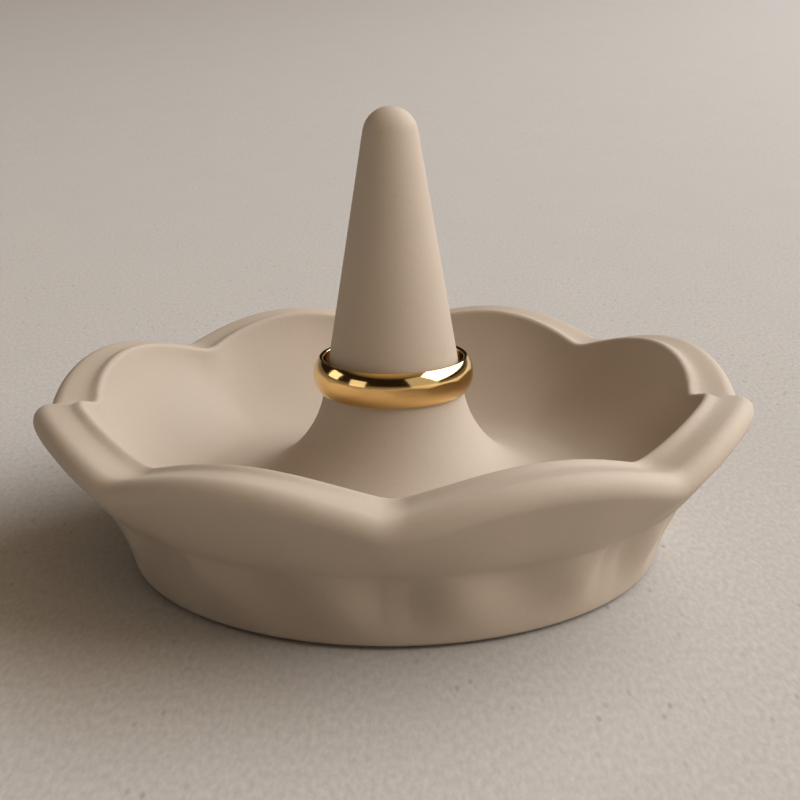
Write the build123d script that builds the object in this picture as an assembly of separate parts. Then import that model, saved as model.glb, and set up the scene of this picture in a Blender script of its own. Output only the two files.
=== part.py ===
from build123d import *
import os
from math import comb, cos, hypot, radians, sin, sqrt, tan

# Ring dish: a scalloped bowl with a tapered ring cone in its middle, cast in one piece,
# a plain gold band that rests low on the cone, and four thin pads under the foot.
# Origin: middle of the footprint, on the table. Z is up, and a notch of the rim faces -Y.

# Rim and petals
petal_count = 8
bead_spans = 3             # patches round the bead
crest_spans = 2            # patches round the crest
notch_turn = 2.2           # degrees to each side of a notch that its rounding takes
rim_radius = 45.2          # widest part of the rim beside a notch
rim_swell = 0.5            # extra radius in the middle of a petal
notch_height = 19.7        # top of the lip's bead beside a notch
petal_rise = 2.9           # extra height in the middle of a petal
lip_round = 1.8            # radius of the bead along the lip's outer edge
bead_turn = 5.0            # degrees past its top that the bead runs down towards the groove
groove_width = 2.65        # from the bead's top in to the bottom of the shallow groove
groove_depth = 0.2
crest_width = 1.75         # from the bottom of the groove in to the crest
crest_rise = 0.2           # crest over the bead
crest_round = 0.7          # radius of the inner edge
crest_fall = 20.0          # degrees that the lip falls outward from the crest
crest_swell = 1.15         # extra radius of the inner edge in the middle of a petal

# Outer wall
crease_radius = 38.2       # where the flared rim meets the fluted body
crease_height = 10.7
waist_radius = 35.5        # middle of the fluted body
waist_height = 7.4
body_lean = 13.0           # degrees from upright where the body leaves the foot
waist_lean = 21.0
crease_lean = 48.0
rim_lean = 38.0            # where the flared rim meets the lip's bead
flute_depth = 1.9          # how far the flutes swell out on both sides of a notch
foot_radius = 34.5
foot_round = 0.7
foot_turn = 25.0           # degrees of the foot's rounding that its flat face cuts off

# Bowl inside
floor_radius = 25.0
floor_height = 8.9
wall_lean = 14.0           # degrees from upright where the bowl's wall leaves the crest

# Cone
cone_height = 56.9
cone_tip_radius = 3.5
cone_taper = 9.5           # half angle in degrees
flare_radius = 14.0        # concave flare from the cone to the floor

# Underside
cone_wall = 3.7
hollow_top = 39.6
recess_radius = 28.3
recess_depth = 3.6
recess_bevel = 1.6
foot_bevel = 0.5

# Pads
pad_count = 4
pad_diameter = 4.0
pad_thickness = 0.5        # the foot stands this far off the table
pad_edge = 0.12

# Gold band
band_bore = 18.1
band_wall = 1.3
band_width = 4.4
band_bevel = 0.2
band_crown = 0.8           # how far the outside bellies out
band_edge = 0.22
band_clearance = 0.08      # radial play where the bore meets the cone

# Waves of a petal, as shares of its hump (0 at the ends, 1 in mid-petal), the hump squared and cubed
swell_shares = (1.26, -0.26, 0)
lift_shares = (0.77, 0.23, 0)
flute_shares = (0, 6.75, -6.75)

# How far a curve's two handles reach, as shares of the distance between its ends
body_shares = (0.33, 0.33)
cove_shares = (0.6, 0.12)   # the short one makes a tight bend at the crease
flare_shares = (0.25, 0.25)
groove_shares = (0.4, 0.4)
wall_shares = (0.33, 0.33)
crease_flute_share = 0.3    # of the flutes' depth, left at the crease


def product(one, two):
    """Product of two polynomials, all given by their Bernstein coefficients."""
    m, n = len(one) - 1, len(two) - 1
    return [sum(comb(m, i) * comb(n, k - i) * one[i] * two[k - i]
                for i in range(max(0, k - n), min(m, k) + 1)) / comb(m + n, k)
            for k in range(m + n + 1)]


unit = (1, 1, 1)
hump = (0, 2, 0)
hump_powers = (product(product(hump, unit), unit), product(product(hump, hump), unit),
               product(product(hump, hump), hump))


def petal_wave(shares):
    return [sum(share * power for share, power in zip(shares, powers)) for powers in zip(*hump_powers)]


def notch_wave(shares):
    """A dip across the notch that carries on the wave's slope on both sides and rounds its bottom."""
    return petal_wave((-shares[0] * sin(half_notch) / sin(half_petal), 0, 0))


def control_row(row, half, wave):
    """Control points of a ring across one petal or notch. It swells, lifts and flutes with the waves."""
    radius, height, swell, lift, flute = row
    reach = [radius + swell * s + flute * f for s, f in zip(wave(swell_shares), wave(flute_shares))]
    rise = [height + lift * share for share in wave(lift_shares)]
    weights = row_weights(half)
    x = product(reach, (cos(half), 1, cos(half)))
    y = product(reach, (-sin(half), 0, sin(half)))
    z = product(rise, (1, cos(half), 1))
    return [Vector(*point) / weight for *point, weight in zip(x, y, z, weights)]


def row_weights(half):
    return product(product(product(unit, unit), unit), (1, cos(half), 1))


def arc_rows(centre, radius, start, end, spans, *waves):
    """Rows of a round edge between two turns, in equal spans: its start, and two handles and an end for each."""
    step = (end - start) / spans
    handle = radius * 4 / 3 * tan(radians(step) / 4)
    places = [(start, 0)]
    for span in range(spans):
        places += [(start + step * span, handle), (start + step * (span + 1), -handle),
                   (start + step * (span + 1), 0)]
    return [(centre[0] + radius * cos(radians(turn)) - along * sin(radians(turn)),
             centre[1] + radius * sin(radians(turn)) + along * cos(radians(turn)), *waves)
            for turn, along in places]


def curve_rows(before, after, shares, start_lean, end_lean):
    """The two handles between two rows, leaning in degrees from upright and keeping their rows' waves."""
    gap = hypot(after[0] - before[0], after[1] - before[1])
    out, back = (share * gap for share in shares)
    leans = radians(start_lean), radians(end_lean)
    return [(before[0] + out * sin(leans[0]), before[1] + out * cos(leans[0]), *before[2:]),
            (after[0] - back * sin(leans[1]), after[1] - back * cos(leans[1]), *after[2:])]


def petal_rows():
    """Rows from the foot, up the outside, over the lip and down to the bowl's floor, in spans of three."""
    still = (0, 0, 0)
    rim_waves = (rim_swell, petal_rise, 0)
    crest_waves = (crest_swell, petal_rise, 0)
    # foot and fluted body
    rows = arc_rows((foot_radius - foot_round, pad_thickness + foot_round * cos(radians(foot_turn))),
                    foot_round, foot_turn - 90, -body_lean, 1, *still)
    waist = (waist_radius, waist_height, 0, 0, flute_depth)
    crease = (crease_radius, crease_height, 0, 0, flute_depth * crease_flute_share)
    rows += [*curve_rows(rows[-1], waist, body_shares, body_lean, waist_lean), waist]
    rows += [*curve_rows(waist, crease, cove_shares, waist_lean, crease_lean), crease]
    # flared rim and the bead along the lip
    edge = (rim_radius - lip_round, notch_height - lip_round)
    bead = arc_rows(edge, lip_round, -rim_lean, 90 + bead_turn, bead_spans, *rim_waves)
    rows += [*curve_rows(crease, bead[0], flare_shares, crease_lean, rim_lean), *bead]
    # shallow groove, then up to the crest and over its round inner edge
    groove = (edge[0] - groove_width, notch_height - groove_depth, (rim_swell + crest_swell) / 2, petal_rise, 0)
    crest_centre = (groove[0] - crest_width, notch_height + crest_rise - crest_round)
    crest = arc_rows(crest_centre, crest_round, 90 - crest_fall, 180 - wall_lean, crest_spans, *crest_waves)
    rows += [*curve_rows(rows[-1], groove, groove_shares, -90 - bead_turn, -90), groove]
    rows += [*curve_rows(groove, crest[0], groove_shares, -90, crest_fall - 90), *crest]
    # bowl's wall, level where it meets the floor
    floor = (floor_radius, floor_height, *still)
    rows += [*curve_rows(crest[-1], floor, wall_shares, 180 + wall_lean, -90), floor]
    return rows


half_notch = radians(notch_turn)
half_petal = radians(180 / petal_count) - half_notch


def petal_patches():
    """The patches of all petals and notches, in spans from foot to floor: each list holds one span."""
    spans = []
    rows = petal_rows()
    petal = [control_row(row, half_petal, petal_wave) for row in rows]
    notch = [control_row(row, half_notch, notch_wave) for row in rows]
    for k in range(0, len(rows) - 1, 3):
        on_petal = Face.make_bezier_surface(petal[k:k + 4], [row_weights(half_petal)] * 4)
        in_notch = Face.make_bezier_surface(notch[k:k + 4], [row_weights(half_notch)] * 4)
        turns = [360 / petal_count * place for place in range(petal_count)]
        spans.append([Rot(0, 0, turn) * in_notch for turn in turns]
                     + [Rot(0, 0, turn + 180 / petal_count) * on_petal for turn in turns])
    return spans


def lowest_ring(patches):
    return Wire([patch.edges().sort_by(Axis.Z)[0] for patch in patches])


def arc_point(centre, radius, turn):
    return (centre[0] + radius * cos(radians(turn)), centre[1] + radius * sin(radians(turn)))


def arc(centre, radius, start, end):
    turns = (start, (start + end) / 2, end)
    return ThreePointArc(*(arc_point(centre, radius, turn) for turn in turns))


def cone_radius_at(height):
    return cone_tip_radius / cos(taper) + (tip_centre - height) * tan(taper)


def height_of_cone_radius(radius):
    """Height where the cone is this wide, on its straight taper or on the flare under it."""
    on_taper = tip_centre - (radius - cone_tip_radius / cos(taper)) / tan(taper)
    if on_taper >= flare_top:
        return on_taper
    return flare_centre[1] - sqrt(flare_radius ** 2 - (flare_centre[0] - radius) ** 2)


def cone_skin():
    """Ball tip, straight taper and a concave flare that ends level on the bowl's floor."""
    with BuildLine(Plane.XZ) as profile:
        arc(flare_centre, flare_radius, 270, 180 + cone_taper)
        Line(arc_point(flare_centre, flare_radius, 180 + cone_taper),
             arc_point((0, tip_centre), cone_tip_radius, cone_taper))
        arc((0, tip_centre), cone_tip_radius, cone_taper, 90)
    return Shell.revolve(profile.wire(), 360, Axis.Z).faces()


def underside_skin():
    """Recess inside the foot, and the hollow that follows the cone up to a round end."""
    ceiling = pad_thickness + recess_depth
    hollow_base = (cone_radius_at(ceiling) - cone_wall / cos(taper), ceiling)
    end_radius = ((cone_tip_radius - cone_wall + (tip_centre - hollow_top) * sin(taper))
                  / (1 - sin(taper)))
    end_centre = (0, hollow_top - end_radius)
    with BuildLine(Plane.XZ) as profile:
        bevel_top = (recess_radius, pad_thickness + foot_bevel)
        Line((recess_radius + foot_bevel, pad_thickness), bevel_top)
        Polyline(bevel_top, (recess_radius, ceiling - recess_bevel), (recess_radius - recess_bevel, ceiling),
                 hollow_base)
        Line(hollow_base, arc_point(end_centre, end_radius, cone_taper))
        arc(end_centre, end_radius, cone_taper, 90)
    return Shell.revolve(profile.wire(), 360, Axis.Z).faces()


def widest_circle(faces):
    return Wire([max(faces.edges().filter_by(GeomType.CIRCLE), key=lambda edge: edge.radius)])


taper = radians(cone_taper)
tip_centre = cone_height - cone_tip_radius
flare_top = floor_height + flare_radius * (1 - sin(taper))
flare_centre = (cone_radius_at(flare_top) + flare_radius * cos(taper), floor_height + flare_radius)

# The dish is one skin: petals, floor, cone, flat foot ring and underside
petals = petal_patches()
cone = cone_skin()
underside = underside_skin()
floor_ring = Face(lowest_ring(petals[-1]), [widest_circle(cone)])
foot_ring = Face(lowest_ring(petals[0]), [widest_circle(underside)])
petal_faces = [patch for patches in petals for patch in patches]
dish = Solid(Shell([*petal_faces, floor_ring, *cone, foot_ring, *underside]))

# Gold band: straight bore with bevelled ends, domed outside with rounded edges
half_width = band_width / 2
bore_radius = band_bore / 2
outer_radius = bore_radius + band_wall
crown_radius = outer_radius - band_crown
bevel_radius = bore_radius + band_bevel
seat_height = height_of_cone_radius(bore_radius - band_clearance) + half_width - band_bevel
with BuildSketch(Plane.XZ) as band_profile:
    with BuildLine():
        Polyline((crown_radius, -half_width), (bevel_radius, -half_width), (bore_radius, band_bevel - half_width),
                 (bore_radius, half_width - band_bevel), (bevel_radius, half_width), (crown_radius, half_width))
        ThreePointArc((crown_radius, half_width), (outer_radius, 0), (crown_radius, -half_width))
    make_face()
    fillet(band_profile.vertices().group_by(Axis.X)[-1], band_edge)
band = Pos(0, 0, seat_height) * revolve(band_profile.sketch, Axis.Z)

os.makedirs("parts", exist_ok=True)
export_step(dish, "parts/scalloped_dish.step")
export_step(band, "parts/gold_band.step")
foot_inside = recess_radius + foot_bevel
foot_outside = foot_radius - foot_round * (1 - sin(radians(foot_turn)))
pad_places = PolarLocations((foot_inside + foot_outside) / 2, pad_count, start_angle=180 / pad_count)
pad_names = ("foot_pad_back_right", "foot_pad_back_left", "foot_pad_front_left", "foot_pad_front_right")
for name, place in zip(pad_names, pad_places):
    pad = Cylinder(pad_diameter / 2, pad_thickness, align=(Align.CENTER, Align.CENTER, Align.MIN))
    pad = chamfer(pad.edges().filter_by(GeomType.CIRCLE).sort_by(Axis.Z)[:1], pad_edge)
    export_step(place * pad, f"parts/{name}.step")
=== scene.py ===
import math

import bpy
from mathutils import Matrix, Vector


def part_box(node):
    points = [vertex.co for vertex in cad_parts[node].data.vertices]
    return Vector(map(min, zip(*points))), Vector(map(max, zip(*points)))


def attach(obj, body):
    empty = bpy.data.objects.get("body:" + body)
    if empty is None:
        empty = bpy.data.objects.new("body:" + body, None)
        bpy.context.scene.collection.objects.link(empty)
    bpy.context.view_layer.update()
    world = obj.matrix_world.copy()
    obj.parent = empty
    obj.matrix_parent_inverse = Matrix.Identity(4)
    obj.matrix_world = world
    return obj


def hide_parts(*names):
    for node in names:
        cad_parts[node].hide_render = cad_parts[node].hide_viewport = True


bl_info = {
    "name": "Ring Dish",
    "version": (1, 0, 0),
    "blender": (4, 5, 0),
    "location": "View3D > Sidebar > Ring Dish",
    "description": "Finishes for a scalloped ring dish, its gold band and foot pads, and a stage for them",
    "category": "Add Mesh",
}

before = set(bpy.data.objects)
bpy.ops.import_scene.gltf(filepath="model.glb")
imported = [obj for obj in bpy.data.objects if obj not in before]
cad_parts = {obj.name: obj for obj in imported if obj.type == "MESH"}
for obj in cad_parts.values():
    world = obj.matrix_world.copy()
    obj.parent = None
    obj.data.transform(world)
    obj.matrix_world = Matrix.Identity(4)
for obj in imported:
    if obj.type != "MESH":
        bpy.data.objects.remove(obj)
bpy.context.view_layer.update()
band_low, band_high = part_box("gold_band")
PAD_NODES = sorted(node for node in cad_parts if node.startswith("foot_pad"))

# Distances in metres under which two points are one, a cut meets a point, and two heights are level
MERGE_DISTANCE, CUT_TOLERANCE, LEVEL_TOLERANCE = 1e-6, 1e-9, 1e-7

# Edges that turn by more than this stay sharp
DISH_SMOOTH_ANGLE, BAND_SMOOTH_ANGLE = math.radians(35), math.radians(40)

# Points round the disc that the band's section is cut from, and steps in each of its rounded corners
SECTION_POINTS, CORNER_STEPS = 256, 5

# Sides of the floor's disc, and bends in the rim that rises round it
FLOOR_SIDES, FLOOR_BENDS = 128, 12

# Heights on the sky, from 0 at the horizon to 1 overhead: the top of the haze, the dim zone's two
# edges, and where the glow is full
HAZE_TOP, DIM_LOW, DIM_HIGH, GLOW_LOW = 0.1, 0.2, 0.66, 0.92

# The camera's sensor in millimetres, its nearest view in metres, and its turn, which is the front
SENSOR_WIDTH, CLIP_START, FRONT = 36, 0.005, -math.pi / 2

# Weak lamps: name, turn and rise in degrees, width over distance, brightness, and whether the gold
# mirrors it
WEAK_LAMPS = (
    ("left_window", 172, 21, 0.36, 1.5, True),
    ("front_window", -143, 14, 0.42, 1.0, True),
    ("front_glow", -44, 22, 0.8, 0.5, True),
    ("front_wash", -34, 24, 0.9, 0.85, False),
)


# Settings

class RingDishClay(bpy.types.PropertyGroup):
    colour: bpy.props.FloatVectorProperty(
        name="Clay", description="Colour of the bare clay", subtype="COLOR", size=3, min=0, max=1,
        default=(0.455, 0.375, 0.298))
    fleck_colour: bpy.props.FloatVectorProperty(
        name="Flecks", description="Colour of the finest grains in the clay", subtype="COLOR", size=3,
        min=0, max=1, default=(0.36, 0.28, 0.21))
    roughness: bpy.props.FloatProperty(
        name="Roughness", description="How matte the clay is", subtype="FACTOR", min=0, max=1, default=0.68)
    cloud_size: bpy.props.FloatProperty(
        name="Cloud Size", description="Width of the faint clouds of lighter and darker clay",
        subtype="DISTANCE", unit="LENGTH", min=0.001, max=0.1, default=0.016)
    grain_size: bpy.props.FloatProperty(
        name="Grain Size", description="Width of one grain on the surface", subtype="DISTANCE",
        unit="LENGTH", min=0.00005, max=0.002, default=0.00028)
    grain_depth: bpy.props.FloatProperty(
        name="Grain Depth", description="Height of the grain", subtype="DISTANCE", unit="LENGTH",
        min=0, max=0.0005, default=0.00001)
    line_spacing: bpy.props.FloatProperty(
        name="Line Spacing", description="Distance between the fine level lines left by finishing",
        subtype="DISTANCE", unit="LENGTH", min=0.0001, max=0.005, default=0.0007)
    line_depth: bpy.props.FloatProperty(
        name="Line Depth", description="Height of the fine level lines", subtype="DISTANCE",
        unit="LENGTH", min=0.000001, max=0.0005, default=0.000006)


class RingDishBand(bpy.types.PropertyGroup):
    bore: bpy.props.FloatProperty(
        name="Bore", description="Inside diameter of the band", subtype="DISTANCE", unit="LENGTH",
        min=0.01, max=0.019, default=0.0181)
    crown: bpy.props.FloatProperty(
        name="Crown", description="How far the band's outside bellies out", subtype="DISTANCE",
        unit="LENGTH", min=0.0001, max=0.002, default=0.0008)
    edge: bpy.props.FloatProperty(
        name="Edge", description="Rounding of the band's edges", subtype="DISTANCE", unit="LENGTH",
        min=0.00002, max=0.0005, default=0.0002)
    colour: bpy.props.FloatVectorProperty(
        name="Gold", description="Colour of the gold", subtype="COLOR", size=3, min=0, max=1,
        default=(0.87, 0.59, 0.25))
    roughness: bpy.props.FloatProperty(
        name="Roughness", description="0 is a mirror polish", subtype="FACTOR", min=0, max=1,
        default=0.1)
    haze_size: bpy.props.FloatProperty(
        name="Haze Size", description="Width of the faint patches left by handling", subtype="DISTANCE",
        unit="LENGTH", min=0.0005, max=0.02, default=0.0035)
    hairline_size: bpy.props.FloatProperty(
        name="Hairline Size", description="Width of the hairlines round the band", subtype="DISTANCE",
        unit="LENGTH", min=0.00002, max=0.001, default=0.00009)
    hairline_depth: bpy.props.FloatProperty(
        name="Hairline Depth", description="Depth of the hairlines", subtype="DISTANCE", unit="LENGTH",
        min=0, max=0.0001, default=0.000001)
    steps: bpy.props.IntProperty(
        name="Steps", description="Faces round the band", min=24, max=512, default=192)


class RingDishPads(bpy.types.PropertyGroup):
    colour: bpy.props.FloatVectorProperty(
        name="Pad", description="Colour of the foot pads", subtype="COLOR", size=3, min=0, max=1,
        default=(0.30, 0.28, 0.26))
    roughness: bpy.props.FloatProperty(
        name="Roughness", description="How matte the foot pads are", subtype="FACTOR", min=0, max=1,
        default=0.75)
    cloud_size: bpy.props.FloatProperty(
        name="Cloud Size", description="Width of the clouds in the silicone", subtype="DISTANCE",
        unit="LENGTH", min=0.0002, max=0.01, default=0.002)
    grain_size: bpy.props.FloatProperty(
        name="Grain Size", description="Width of one grain on the silicone", subtype="DISTANCE",
        unit="LENGTH", min=0.00005, max=0.002, default=0.0002)
    grain_depth: bpy.props.FloatProperty(
        name="Grain Depth", description="Height of the silicone's grain", subtype="DISTANCE",
        unit="LENGTH", min=0, max=0.0005, default=0.000008)


class RingDishStage(bpy.types.PropertyGroup):
    floor_colour: bpy.props.FloatVectorProperty(
        name="Floor", description="Colour of the floor and backdrop", subtype="COLOR", size=3,
        min=0, max=1, default=(0.48, 0.448, 0.418))
    floor_radius: bpy.props.FloatProperty(
        name="Floor Radius", description="Reach of the floor's level part", subtype="DISTANCE",
        unit="LENGTH", min=0.1, max=5, default=0.45)
    sweep_width: bpy.props.FloatProperty(
        name="Sweep Width", description="Width of the floor's gently rising rim", subtype="DISTANCE",
        unit="LENGTH", min=0.1, max=20, default=3)
    sweep_slope: bpy.props.FloatProperty(
        name="Sweep Slope", description="Slope of the floor's rim", subtype="ANGLE", unit="ROTATION",
        min=0, max=math.pi / 4, default=math.radians(11))
    grain_size: bpy.props.FloatProperty(
        name="Grain Size", description="Width of one grain of the plaster", subtype="DISTANCE",
        unit="LENGTH", min=0.0001, max=0.01, default=0.0006)
    grain_depth: bpy.props.FloatProperty(
        name="Grain Depth", description="Height of the plaster's grain", subtype="DISTANCE",
        unit="LENGTH", min=0, max=0.001, default=0.00002)
    cloud_size: bpy.props.FloatProperty(
        name="Cloud Size", description="Width of the plaster's clouds", subtype="DISTANCE",
        unit="LENGTH", min=0.001, max=0.5, default=0.018)
    # painted shade: the spacing and patches of small dark dots that stand for the shade inside pit hollows
    # in the plaster, drawn in colour only
    pit_shade_spacing: bpy.props.FloatProperty(
        name="Pit Spacing", description="Distance between the plaster's small dark pits",
        subtype="DISTANCE", unit="LENGTH", min=0.0005, max=0.05, default=0.0035)
    pit_shade_patch_size: bpy.props.FloatProperty(
        name="Pitted Areas", description="Width of the areas where the pits gather",
        subtype="DISTANCE", unit="LENGTH", min=0.001, max=0.5, default=0.02)
    key_power: bpy.props.FloatProperty(
        name="Key Light", description="Power of the large soft lamp", unit="POWER", min=0, max=100,
        default=62)
    key_colour: bpy.props.FloatVectorProperty(
        name="Key Colour", description="Colour of the large soft lamp", subtype="COLOR", size=3,
        min=0, max=1, default=(0.94, 0.97, 1))
    key_turn: bpy.props.FloatProperty(
        name="Key Turn", description="Angle of the lamp from the right towards the back",
        subtype="ANGLE", unit="ROTATION", min=-math.pi, max=math.pi, default=math.radians(15))
    key_rise: bpy.props.FloatProperty(
        name="Key Rise", description="Angle of the lamp above the floor", subtype="ANGLE",
        unit="ROTATION", min=0, max=math.pi / 2, default=math.radians(39))
    key_distance: bpy.props.FloatProperty(
        name="Key Distance", description="Distance from the dish to the lamps", subtype="DISTANCE",
        unit="LENGTH", min=0.2, max=20, default=1.8)
    key_width: bpy.props.FloatProperty(
        name="Key Width", description="Width of the lamp, which softens its shadows",
        subtype="DISTANCE", unit="LENGTH", min=0.01, max=10, default=3)
    key_height: bpy.props.FloatProperty(
        name="Key Height", description="Height of the lamp, which softens its shadows",
        subtype="DISTANCE", unit="LENGTH", min=0.01, max=10, default=1.3)
    fill: bpy.props.FloatProperty(
        name="Sky Strength", description="Strength of the whole sky's light", min=0, max=5, default=0.5)
    fill_colour: bpy.props.FloatVectorProperty(
        name="Fill Colour", description="Colour of the light from overhead and of the unmirrored lamp",
        subtype="COLOR", size=3, min=0, max=1, default=(1, 0.73, 0.46))
    haze_colour: bpy.props.FloatVectorProperty(
        name="Haze", description="Colour of the pale haze along the horizon", subtype="COLOR", size=3,
        min=0, max=1, default=(0.64, 0.515, 0.38))
    dim: bpy.props.FloatProperty(
        name="Dim Zone", description="Level between the haze and the glow, which the gold mirrors",
        subtype="FACTOR", min=0, max=1, default=0.03)
    window_level: bpy.props.FloatProperty(
        name="Weak Lamps", description="Brightness of the weak lamps", min=0, max=10, default=1)
    window_colour: bpy.props.FloatVectorProperty(
        name="Window Colour", description="Colour of the weak lamps that the gold mirrors",
        subtype="COLOR", size=3, min=0, max=1, default=(1, 0.97, 0.90))
    camera_distance: bpy.props.FloatProperty(
        name="Camera Distance", description="Distance from the camera to the point it looks at",
        subtype="DISTANCE", unit="LENGTH", min=0.05, max=5, default=0.1872)
    camera_rise: bpy.props.FloatProperty(
        name="Camera Rise", description="Angle of the camera above the floor", subtype="ANGLE",
        unit="ROTATION", min=0, max=math.pi / 2, default=math.radians(16.1))
    camera_roll: bpy.props.FloatProperty(
        name="Camera Roll", description="How far the camera leans about its own line of sight",
        subtype="ANGLE", unit="ROTATION", min=-0.2, max=0.2, default=math.radians(-0.71))
    aim: bpy.props.FloatVectorProperty(
        name="Aim", description="Point that the camera looks at", subtype="XYZ", unit="LENGTH",
        size=3, default=(0.0008, 0, 0.01916))
    lens: bpy.props.FloatProperty(
        name="Lens", description="Focal length in millimetres", min=10, max=300, default=64.6)


# Materials

class Value:
    """A number that varies over a surface. Sums on it add Math nodes to its material."""

    def __init__(self, finish, socket):
        self.finish = finish
        self.socket = socket

    def sum(self, operation, first, second):
        """The result of one Math node."""
        return self.finish.node("Math", {"operation": operation}, {0: first, 1: second})

    def __add__(self, other):
        return self.sum("ADD", self, other)

    def __sub__(self, other):
        return self.sum("SUBTRACT", self, other)

    def __rsub__(self, other):
        return self.sum("SUBTRACT", other, self)

    def __mul__(self, other):
        return self.sum("MULTIPLY", self, other)

    __radd__ = __add__
    __rmul__ = __mul__


class Finish:
    """A material or sky in the making, with one shader and whatever nodes its maker adds."""

    # the Mix node's two colour sockets and its colour result, by their numbers
    FIRST_COLOUR, SECOND_COLOUR, MIXED_COLOUR = 6, 7, 2

    def __init__(self, owner, place="Object"):
        self.owner = owner
        self.owner.use_nodes = True
        self.tree = self.owner.node_tree
        self.tree.nodes.clear()
        self.place = self.node("TexCoord", output=place)

    def node(self, kind, settings=None, sockets=None, output=0):
        """Adds a node, gives it its settings, then its sockets, and returns one of its outputs."""
        made = self.tree.nodes.new("ShaderNode" + kind)
        for name, setting in (settings or {}).items():
            if name == "stops":
                self.set_stops(made.color_ramp, setting)
            else:
                setattr(made, name, setting)
        for name, value in (sockets or {}).items():
            if isinstance(value, Value):
                self.tree.links.new(value.socket, made.inputs[name])
            else:
                made.inputs[name].default_value = value
        return Value(self, made.outputs[output]) if made.outputs else None

    def set_stops(self, ramp, stops):
        """Gives a colour ramp its stops, each a position and a grey level or a colour."""
        while len(ramp.elements) < len(stops):
            ramp.elements.new(0.5)
        for element, (position, level) in zip(ramp.elements, stops):
            element.position = position
            element.color = (*level, 1) if isinstance(level, tuple) else (level, level, level, 1)

    def noise(self, size, detail=2.0, place=None):
        """Soft random values about half, in spots of this width in metres."""
        return self.node("TexNoise", sockets={"Vector": place or self.place, "Scale": 1 / size,
                                              "Detail": detail})

    def stretched(self, scale):
        """The place on the surface, so that a pattern laid on it is drawn out this many times."""
        return self.node("Mapping", {"vector_type": "TEXTURE"}, {"Vector": self.place, "Scale": scale})

    def ramp(self, value, *stops):
        """The value run through a ramp of grey levels or colours."""
        return self.node("ValToRGB", {"stops": stops}, {"Fac": value})

    def rise(self, value, low, high):
        """0 where the value is under low, 1 where it is over high, and a slope between them."""
        return self.ramp(value, (low, 0), (high, 1))

    def swing(self, value, spread):
        """Values about half turned into values about zero, this far apart from 0 to 1."""
        return (value - 0.5) * spread

    def mix(self, share, first, second, most=1):
        """One colour blended into another, all of it or at most this much of it."""
        ends = [end if isinstance(end, Value) else (*end, 1) for end in (first, second)]
        sockets = {0: share if most == 1 else share * most,
                   self.FIRST_COLOUR: ends[0], self.SECOND_COLOUR: ends[1]}
        return self.node("Mix", {"data_type": "RGBA"}, sockets, output=self.MIXED_COLOUR)

    def varied(self, share, colour, low, high):
        """A colour, from low times as bright where the share is 0 to high times where it is 1."""
        return self.mix(share, shade(colour, low), shade(colour, high))

    def bump(self, height, distance, strength=1.0):
        """The surface's normal, roughened by a height of up to this distance in metres."""
        return self.node("Bump", sockets={"Height": height, "Distance": distance, "Strength": strength})

    def surface(self, **sockets):
        """Ends the material in a Principled shader. Socket names have their spaces as underscores."""
        named = {name.replace("_", " "): value for name, value in sockets.items()}
        shader = self.node("BsdfPrincipled", sockets=named)
        self.node("OutputMaterial", sockets={"Surface": shader})
        return self.owner


def shade(colour, factor):
    """A colour made this many times as bright."""
    return tuple(min(1, channel * factor) for channel in colour)


def matte_clay(clay):
    """Bare, fine-grained clay: faint clouds, fine grain and faint level lines from finishing."""
    finish = Finish(bpy.data.materials.new("matte_clay"))
    clouds = finish.rise(finish.noise(clay.cloud_size, detail=3), low=0.35, high=0.68)
    grain = finish.noise(clay.grain_size, detail=2)
    flecks = finish.rise(finish.noise(clay.grain_size * 1.6, detail=1), low=0.62, high=0.72)
    lines = finish.noise(clay.line_spacing, detail=2, place=finish.stretched((60, 60, 1)))
    base = finish.varied(clouds, clay.colour, low=0.965, high=1.03)
    base = finish.mix(grain, base, shade(clay.colour, 1.25), most=0.10)
    base = finish.mix(flecks, base, clay.fleck_colour, most=0.16)
    height = grain * (clay.grain_depth / clay.line_depth) + lines
    return finish.surface(
        Base_Color=base, Specular_IOR_Level=0.35,
        Roughness=clay.roughness + finish.swing(clouds, 0.05) + finish.swing(grain, 0.12),
        Normal=finish.bump(height, clay.line_depth))


def polished_gold(band):
    """Polished gold, with a breath of handling haze and hairlines round the band."""
    finish = Finish(bpy.data.materials.new("polished_gold"))
    haze = finish.noise(band.haze_size, detail=3)
    hairlines = finish.noise(band.hairline_size, detail=2, place=finish.stretched((40, 40, 1)))
    return finish.surface(
        Base_Color=finish.varied(haze, band.colour, low=0.97, high=1.03), Metallic=1.0,
        Roughness=band.roughness + finish.swing(haze, 0.06),
        Normal=finish.bump(hairlines, band.hairline_depth, strength=0.4))


def soft_pad(pads):
    """Soft, slightly clouded silicone."""
    finish = Finish(bpy.data.materials.new("soft_pad"))
    clouds = finish.noise(pads.cloud_size, detail=2)
    return finish.surface(
        Base_Color=finish.varied(clouds, pads.colour, low=0.9, high=1.1),
        Roughness=pads.roughness + finish.swing(clouds, 0.1),
        Normal=finish.bump(finish.noise(pads.grain_size, detail=2), pads.grain_depth))


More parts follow.
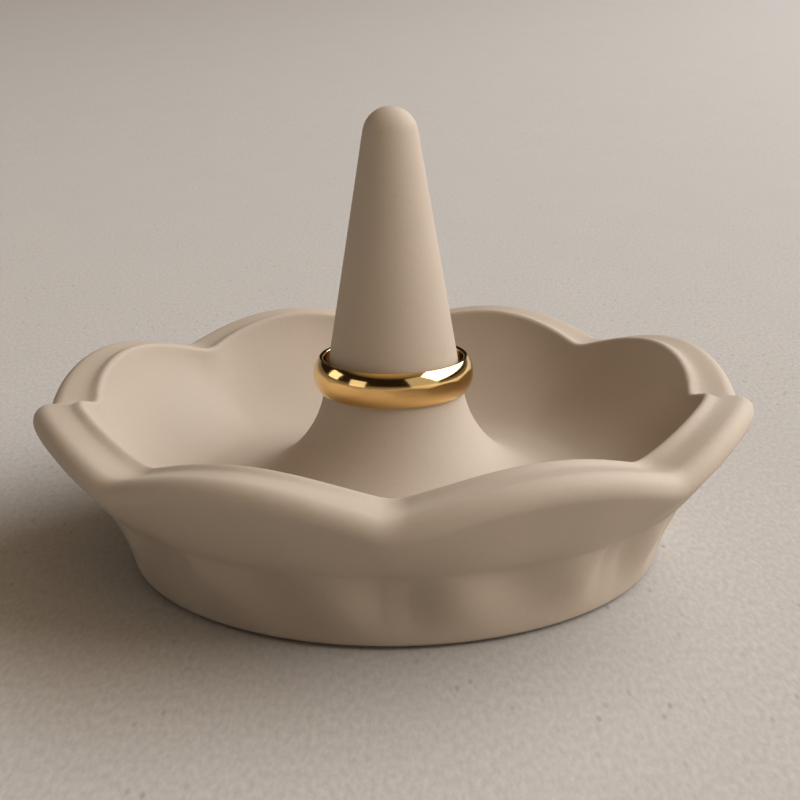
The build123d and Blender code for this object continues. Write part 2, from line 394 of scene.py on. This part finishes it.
def pale_plaster(stage):
    """Pale, finely speckled plaster for the floor and backdrop, with painted shade: small dark dots that
    stand for the shade inside a few small pit hollows.
    """
    finish = Finish(bpy.data.materials.new("pale_plaster"))
    drawn_out = finish.stretched((1, 2.6, 1))
    grain = finish.noise(stage.grain_size, detail=3, place=drawn_out)
    clouds = finish.noise(stage.cloud_size, detail=3, place=drawn_out)
    # how far each place is from the nearest pit's middle, as a share of the spacing
    apart = finish.node("TexVoronoi", {"voronoi_dimensions": "2D"},
                        {"Vector": drawn_out, "Scale": 1 / stage.pit_shade_spacing})
    pit_shade_patches = finish.rise(finish.noise(stage.pit_shade_patch_size, detail=2), low=0.47, high=0.60)
    # painted shade: a small dark disc in the middle of each Voronoi cell, where the patches allow, stands
    # for the shade inside a pit hollow
    painted_pit_shade = finish.ramp(apart, (0.03, 1), (0.10, 0)) * pit_shade_patches
    base = finish.varied(grain, stage.floor_colour, low=0.70, high=1.30)
    base = finish.mix(clouds, base, shade(stage.floor_colour, 0.9), most=0.5)
    # the plaster is darkened by the painted pit shade
    base = finish.mix(painted_pit_shade, base, shade(stage.floor_colour, 0.45), most=0.45)
    return finish.surface(Base_Color=base, Roughness=0.85, Specular_IOR_Level=0.2,
                          Normal=finish.bump(grain, stage.grain_depth))


# Pieces

def pick(piece=None):
    """Selects this piece alone, or nothing."""
    bpy.ops.object.select_all(action="DESELECT")
    if piece:
        piece.select_set(True)
        bpy.context.view_layer.objects.active = piece


def dress(piece, material):
    """Gives every face of a piece this material."""
    if not piece.data.materials:
        piece.data.materials.append(material)
    for index in range(len(piece.data.materials)):
        piece.data.materials[index] = material


def merged_copy(node, name, angle):
    """A copy of a CAD node with its loose triangles merged and shaded smooth up to this angle."""
    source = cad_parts[node]
    piece = bpy.data.objects.new(name, source.data.copy())
    piece.data.name = name
    bpy.context.scene.collection.objects.link(piece)
    pick(piece)
    bpy.ops.object.mode_set(mode="EDIT")
    bpy.ops.mesh.select_all(action="SELECT")
    bpy.ops.mesh.customdata_custom_splitnormals_clear()
    bpy.ops.mesh.remove_doubles(threshold=MERGE_DISTANCE)
    bpy.ops.object.mode_set(mode="OBJECT")
    bpy.ops.object.shade_smooth_by_angle(angle=angle)
    return piece


class RINGDISH_OT_dish(bpy.types.Operator):
    """Finishes the scalloped dish in bare matte clay"""

    bl_idname = "ring_dish.dish"
    bl_label = "Finish Dish"

    def execute(self, context):
        piece = merged_copy("scalloped_dish", "clay_dish", DISH_SMOOTH_ANGLE)
        dress(piece, matte_clay(context.scene.ring_dish_clay))
        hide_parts("scalloped_dish")
        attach(piece, "dish")
        return {"FINISHED"}


class RINGDISH_OT_band(bpy.types.Operator):
    """Turns a polished gold band and sets it on the cone"""

    bl_idname = "ring_dish.band"
    bl_label = "Make Band"

    def execute(self, context):
        band = context.scene.ring_dish_band
        bore, outside = band.bore / 2, band_high.x
        top, bottom = band_high.z, band_low.z
        half_width = (top - bottom) / 2
        crown_radius = (half_width ** 2 + band.crown ** 2) / (2 * band.crown)
        pick()
        bpy.ops.mesh.primitive_circle_add(
            vertices=SECTION_POINTS, radius=crown_radius, fill_type="NGON",
            rotation=(math.pi / 2, 0, 0), location=(outside - crown_radius, 0, (top + bottom) / 2))
        piece = context.object
        piece.name = piece.data.name = "polished_band"
        pick(piece)
        bpy.ops.object.transform_apply(location=True, rotation=True, scale=True)
        # the section: a disc cut straight along the bore and along both sides
        bpy.ops.object.mode_set(mode="EDIT")
        cuts = (((bore, 0, 0), (-1, 0, 0)), ((0, 0, top), (0, 0, 1)), ((0, 0, bottom), (0, 0, -1)))
        for point, outward in cuts:
            bpy.ops.mesh.select_all(action="SELECT")
            bpy.ops.mesh.bisect(plane_co=point, plane_no=outward, clear_outer=True,
                                threshold=CUT_TOLERANCE)
        self.pick_corners(piece, (bottom, top))
        bpy.ops.mesh.bevel(offset_type="OFFSET", offset=band.edge, segments=CORNER_STEPS,
                           affect="VERTICES")
        # its outline alone, turned round the cone's axis
        bpy.ops.mesh.select_all(action="SELECT")
        bpy.ops.mesh.delete(type="ONLY_FACE")
        bpy.ops.mesh.select_all(action="SELECT")
        bpy.ops.mesh.spin(steps=band.steps, angle=2 * math.pi, center=(0, 0, 0), axis=(0, 0, 1))
        bpy.ops.mesh.select_all(action="SELECT")
        bpy.ops.mesh.remove_doubles(threshold=MERGE_DISTANCE)
        bpy.ops.mesh.normals_make_consistent(inside=False)
        bpy.ops.object.mode_set(mode="OBJECT")
        bpy.ops.object.shade_smooth_by_angle(angle=BAND_SMOOTH_ANGLE)
        dress(piece, polished_gold(band))
        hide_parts("gold_band")
        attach(piece, "band")
        return {"FINISHED"}

    def pick_corners(self, piece, levels):
        """Selects the section's four corners, the two ends of the straight side at each level."""
        bpy.ops.mesh.select_all(action="DESELECT")
        bpy.ops.object.mode_set(mode="OBJECT")
        for level in levels:
            side = [v for v in piece.data.vertices if abs(v.co.z - level) < LEVEL_TOLERANCE]
            for corner in (min(side, key=lambda v: v.co.x), max(side, key=lambda v: v.co.x)):
                corner.select = True
        bpy.ops.object.mode_set(mode="EDIT")


class RINGDISH_OT_pads(bpy.types.Operator):
    """Finishes the foot pads in soft silicone"""

    bl_idname = "ring_dish.pads"
    bl_label = "Finish Pads"

    def execute(self, context):
        material = soft_pad(context.scene.ring_dish_pads)
        for node in PAD_NODES:
            dress(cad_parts[node], material)
        return {"FINISHED"}


# Stage

def sky(stage):
    """A pale haze along the horizon, a warm glow overhead, and a dim zone between them for the gold."""
    finish = Finish(bpy.data.worlds.new("soft_sky"), "Generated")
    height = finish.node("SeparateXYZ", sockets={"Vector": finish.place}, output="Z")
    haze, fill = tuple(stage.haze_colour), tuple(stage.fill_colour)
    dim = shade(stage.fill_colour, stage.dim)
    colour = finish.ramp(height, (HAZE_TOP, haze), (DIM_LOW, dim), (DIM_HIGH, dim), (GLOW_LOW, fill))
    glow = finish.node("Background", sockets={"Color": colour, "Strength": stage.fill})
    finish.node("OutputWorld", sockets={"Surface": glow})
    bpy.context.scene.world = finish.owner


def lamp(name, place, size, power, colour, mirrored=True):
    """A soft lamp of this width and height that faces the dish, mirrored by the gold or not."""
    bpy.ops.object.light_add(type="AREA", location=place)
    made = bpy.context.object
    made.name = name
    made.rotation_euler = (-Vector(place)).to_track_quat("-Z", "Y").to_euler()
    made.data.shape = "RECTANGLE"
    made.data.size, made.data.size_y = size
    made.data.energy = power
    made.data.color = colour
    made.visible_glossy = mirrored


def around(turn, rise, distance):
    """A place this far from the dish, turned from the right towards the back and raised."""
    level = math.cos(rise)
    return distance * Vector((level * math.cos(turn), level * math.sin(turn), math.sin(rise)))


class RINGDISH_OT_stage(bpy.types.Operator):
    """Adds the floor, backdrop, lamps and camera"""

    bl_idname = "ring_dish.stage"
    bl_label = "Set Stage"

    def execute(self, context):
        stage = context.scene.ring_dish_stage
        self.add_floor(stage)
        sky(stage)
        lamp("key_lamp", around(stage.key_turn, stage.key_rise, stage.key_distance),
             (stage.key_width, stage.key_height), stage.key_power, stage.key_colour)
        for name, turn, rise, share, level, mirrored in WEAK_LAMPS:
            size = stage.key_distance * share
            place = around(math.radians(turn), math.radians(rise), stage.key_distance)
            # a lamp looks as bright as its power over pi times its area
            power = stage.window_level * level * math.pi * size ** 2
            colour = stage.window_colour if mirrored else stage.fill_colour
            lamp(name, place, (size, size), power, colour, mirrored)
        self.set_camera(stage)
        return {"FINISHED"}

    def add_floor(self, stage):
        """A level disc whose rim bends up gently, so that no dark horizon shows from any side."""
        pick()
        bpy.ops.mesh.primitive_circle_add(
            vertices=FLOOR_SIDES, radius=stage.floor_radius, fill_type="NGON")
        floor = bpy.context.object
        floor.name = "floor"
        bpy.ops.object.mode_set(mode="EDIT")
        bpy.ops.mesh.select_all(action="SELECT")
        bpy.ops.mesh.region_to_loop()
        reach = stage.floor_radius
        for bend in range(1, FLOOR_BENDS + 1):
            # the last bend takes half of the width, and the others share the rest
            step = stage.sweep_width * (0.5 if bend == FLOOR_BENDS else 0.5 / (FLOOR_BENDS - 1))
            lift = step * math.tan(stage.sweep_slope * bend / FLOOR_BENDS)
            growth = (reach + step) / reach
            bpy.ops.mesh.extrude_edges_move(TRANSFORM_OT_translate={"value": (0, 0, lift)})
            bpy.ops.transform.resize(value=(growth, growth, 1), center_override=(0, 0, 0))
            reach += step
        bpy.ops.object.mode_set(mode="OBJECT")
        bpy.ops.object.shade_smooth()
        dress(floor, pale_plaster(stage))

    def set_camera(self, stage):
        """A camera in front of the dish, raised and leaned as the photograph's was."""
        place = Vector(stage.aim) + around(FRONT, stage.camera_rise, stage.camera_distance)
        bpy.ops.object.camera_add()
        camera = bpy.context.object
        camera.data.lens = stage.lens
        camera.data.sensor_width = SENSOR_WIDTH
        camera.data.clip_start = CLIP_START
        tilt = Matrix.Rotation(math.pi / 2 - stage.camera_rise, 4, "X")
        roll = Matrix.Rotation(stage.camera_roll, 4, "Z")
        camera.matrix_world = Matrix.Translation(place) @ tilt @ roll
        bpy.context.scene.camera = camera
        bpy.context.scene.view_settings.view_transform = "Standard"


# Panel

GROUPS = {"ring_dish_clay": RingDishClay, "ring_dish_band": RingDishBand,
          "ring_dish_pads": RingDishPads, "ring_dish_stage": RingDishStage}
OPERATORS = {"ring_dish_clay": RINGDISH_OT_dish, "ring_dish_band": RINGDISH_OT_band,
             "ring_dish_pads": RINGDISH_OT_pads, "ring_dish_stage": RINGDISH_OT_stage}


class RINGDISH_PT_sidebar(bpy.types.Panel):
    """Lists the ring dish's pieces and their settings"""

    bl_idname = "RINGDISH_PT_sidebar"
    bl_label = "Ring Dish"
    bl_space_type = "VIEW_3D"
    bl_region_type = "UI"
    bl_category = "Ring Dish"

    def draw(self, context):
        for name, group in GROUPS.items():
            box = self.layout.box()
            for setting in group.__annotations__:
                box.prop(getattr(context.scene, name), setting)
            box.operator(OPERATORS[name].bl_idname)


CLASSES = (*GROUPS.values(), *OPERATORS.values(), RINGDISH_PT_sidebar)


def register():
    for made in CLASSES:
        bpy.utils.register_class(made)
    for name, group in GROUPS.items():
        setattr(bpy.types.Scene, name, bpy.props.PointerProperty(type=group))


def unregister():
    for name in GROUPS:
        delattr(bpy.types.Scene, name)
    for made in reversed(CLASSES):
        bpy.utils.unregister_class(made)


def main():
    register()
    bpy.ops.ring_dish.dish()
    bpy.ops.ring_dish.band()
    bpy.ops.ring_dish.pads()
    bpy.ops.ring_dish.stage()


if __name__ == "__main__":
    main()
